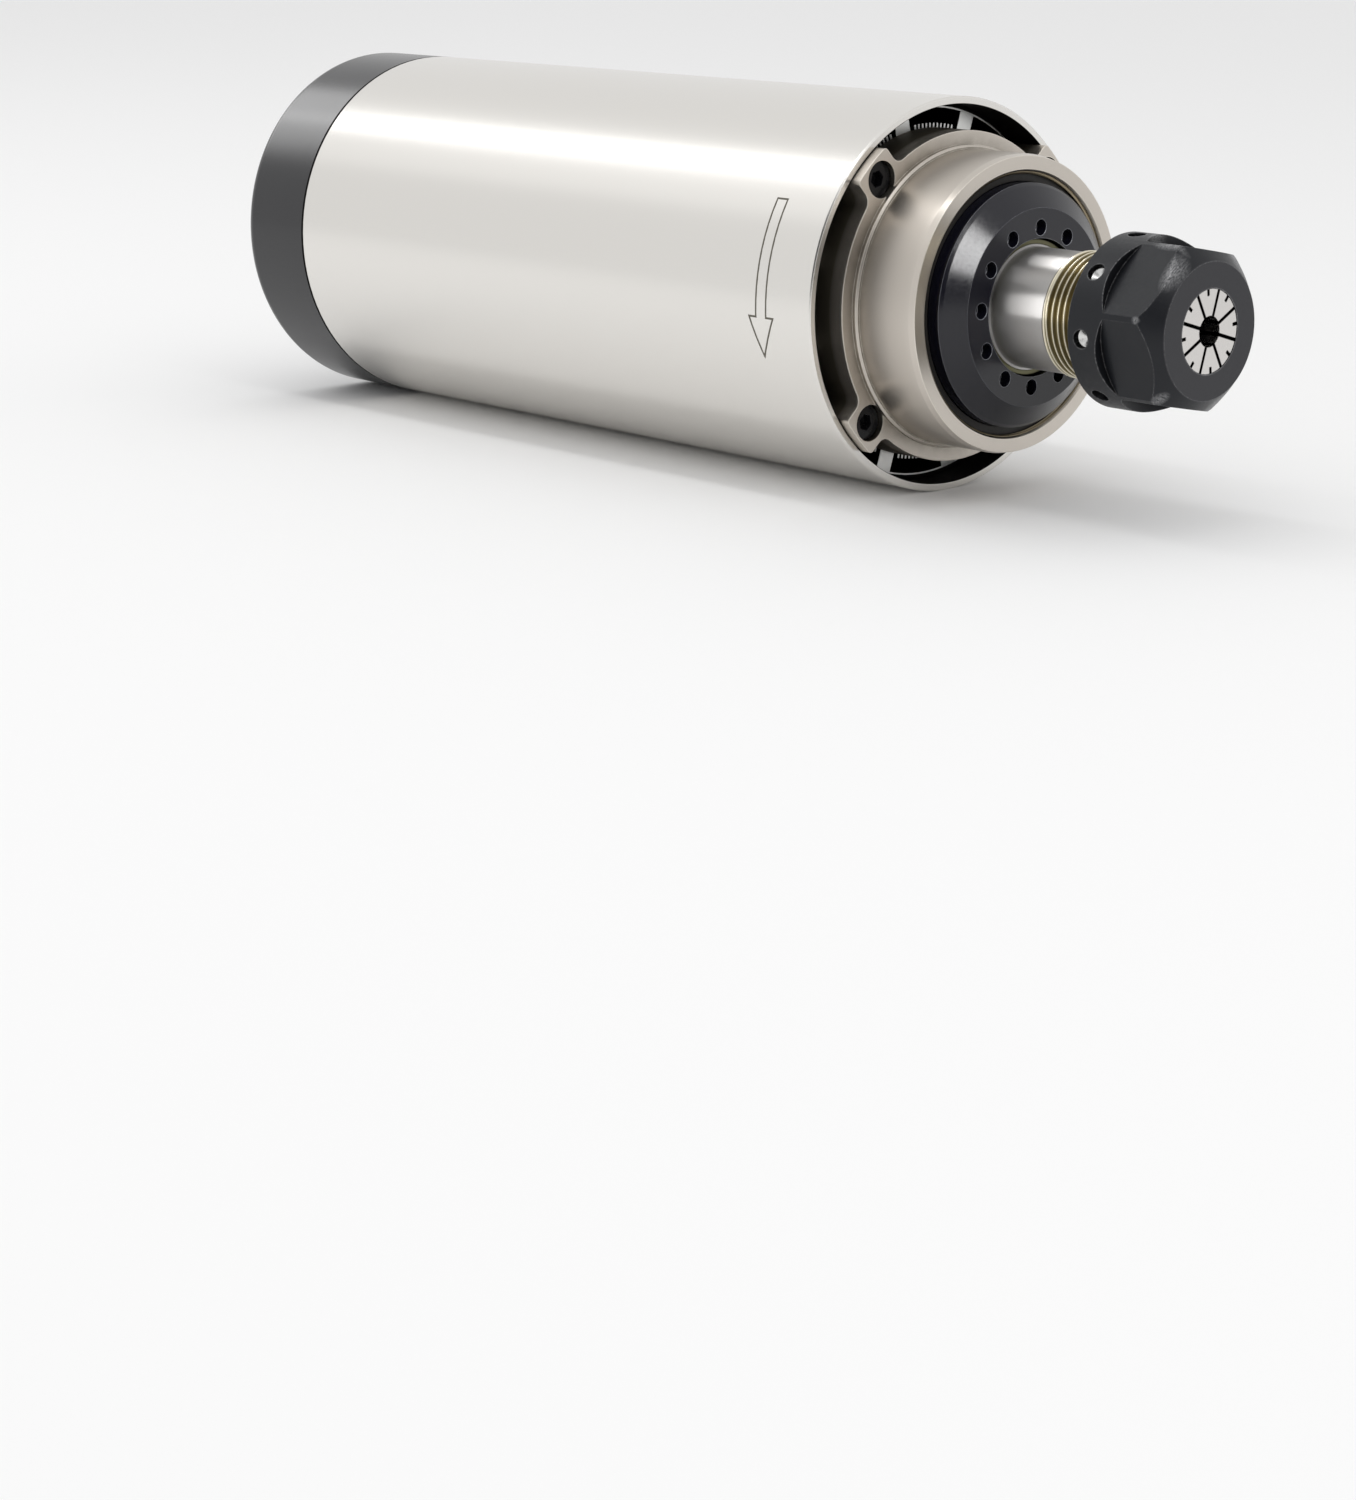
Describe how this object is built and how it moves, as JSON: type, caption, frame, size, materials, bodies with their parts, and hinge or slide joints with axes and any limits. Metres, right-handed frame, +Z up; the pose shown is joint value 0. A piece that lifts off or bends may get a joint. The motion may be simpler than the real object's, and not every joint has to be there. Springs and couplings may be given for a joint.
{
  "type": "motor spindle",
  "caption": "Air-cooled motor spindle: a smooth cylindrical body with an eared front flange, a bearing nose, and a slotted collet with its hexagonal clamping nut.",
  "frame": {"origin": "on the spindle axis in the plane of the sleeve's front rim", "axes": "+X along the axis towards the nose and the tool, +Z up, +Y completes the right-handed frame"},
  "size_m": [0.2713, 0.08, 0.08],
  "materials": {
    "stainless_sleeve": "fine satin, turned round the axis",
    "blasted_aluminium": "matte, extruded",
    "nickel_grey_metal": "satin, warm grey",
    "black_oxide_screws": "black oxide",
    "bearing_steel": "ground",
    "cage_brass": "machined",
    "turned_steel": "turned",
    "gloss_black_metal": "gloss black",
    "seal_rubber": "matte",
    "labyrinth_metal": "greenish bronze",
    "core_steel": "laminated",
    "winding_enamel": "enamelled copper",
    "cast_aluminium": "cast",
    "ground_steel": "ground",
    "collet_steel": "bright, ground",
    "nut_black_oxide": "charcoal black oxide, worn at the corners",
    "rear_cap_black": "satin black",
    "fan_plastic": "moulded",
    "socket_plating": "nickel plated",
    "contact_gold": "plated"
  },
  "bodies": {
    "housing": {"outer_sleeve": "stainless_sleeve", "finned_jacket": "blasted_aluminium", "front_flange": "nickel_grey_metal", "flange_screws": "black_oxide_screws", "front_bearing_outer_rings": "bearing_steel", "front_outer_spacer": "turned_steel", "front_cap": "gloss_black_metal", "nose_seal": "seal_rubber", "stator_core": "core_steel", "stator_winding": "winding_enamel", "rear_end_bell": "cast_aluminium", "rear_bearing_outer_rings": "bearing_steel", "preload_spring": "turned_steel", "rear_bearing_cover": "turned_steel", "bearing_cover_screws": "turned_steel", "rear_cap": "rear_cap_black", "rear_cap_screws": "black_oxide_screws", "power_socket_shell": "socket_plating", "power_socket_insulator": "fan_plastic", "power_socket_pins": "contact_gold", "power_socket_nut": "turned_steel"},
    "spindle": {"spindle_shaft": "ground_steel", "rotor_core": "core_steel", "rotor_end_rings": "cast_aluminium", "front_bearing_inner_rings": "bearing_steel", "front_inner_spacer": "turned_steel", "labyrinth_ring": "labyrinth_metal", "rear_bearing_inner_rings": "bearing_steel", "rear_clamp_sleeve": "turned_steel", "bearing_locknut": "turned_steel", "cooling_fan": "fan_plastic", "fan_screw": "turned_steel"},
    "front_ball_set": {"front_bearing_balls": "bearing_steel", "front_bearing_cages": "cage_brass"},
    "rear_ball_set": {"rear_bearing_balls": "bearing_steel", "rear_bearing_cages": "cage_brass"},
    "collet": {"collet": "collet_steel"},
    "nut": {"collet_nut": "nut_black_oxide"}
  },
  "joints": [
    {"name": "spindle_spin", "type": "hinge", "parent": "housing", "child": "spindle", "pos_m": [0, 0, 0], "axis": [1, 0, 0], "continuous": true},
    {"name": "front_balls_orbit", "type": "hinge", "parent": "housing", "child": "front_ball_set", "pos_m": [0, 0, 0], "axis": [1, 0, 0], "continuous": true},
    {"name": "rear_balls_orbit", "type": "hinge", "parent": "housing", "child": "rear_ball_set", "pos_m": [-0.15, 0, 0], "axis": [1, 0, 0], "continuous": true},
    {"name": "collet_draw", "type": "slide", "parent": "spindle", "child": "collet", "axis": [1, 0, 0], "range_m": [0, 0.0092]},
    {"name": "nut_turn", "type": "hinge", "parent": "collet", "child": "nut", "pos_m": [0.0565, 0, 0], "axis": [1, 0, 0], "range_deg": [0, 2160]}
  ],
  "couplings": [
    {"joint": "front_balls_orbit", "follows": "spindle_spin", "ratio": 0.4139},
    {"joint": "rear_balls_orbit", "follows": "spindle_spin", "ratio": 0.4038},
    {"joint": "collet_draw", "follows": "nut_turn", "m_per_rad": 0.00023873}
  ]
}
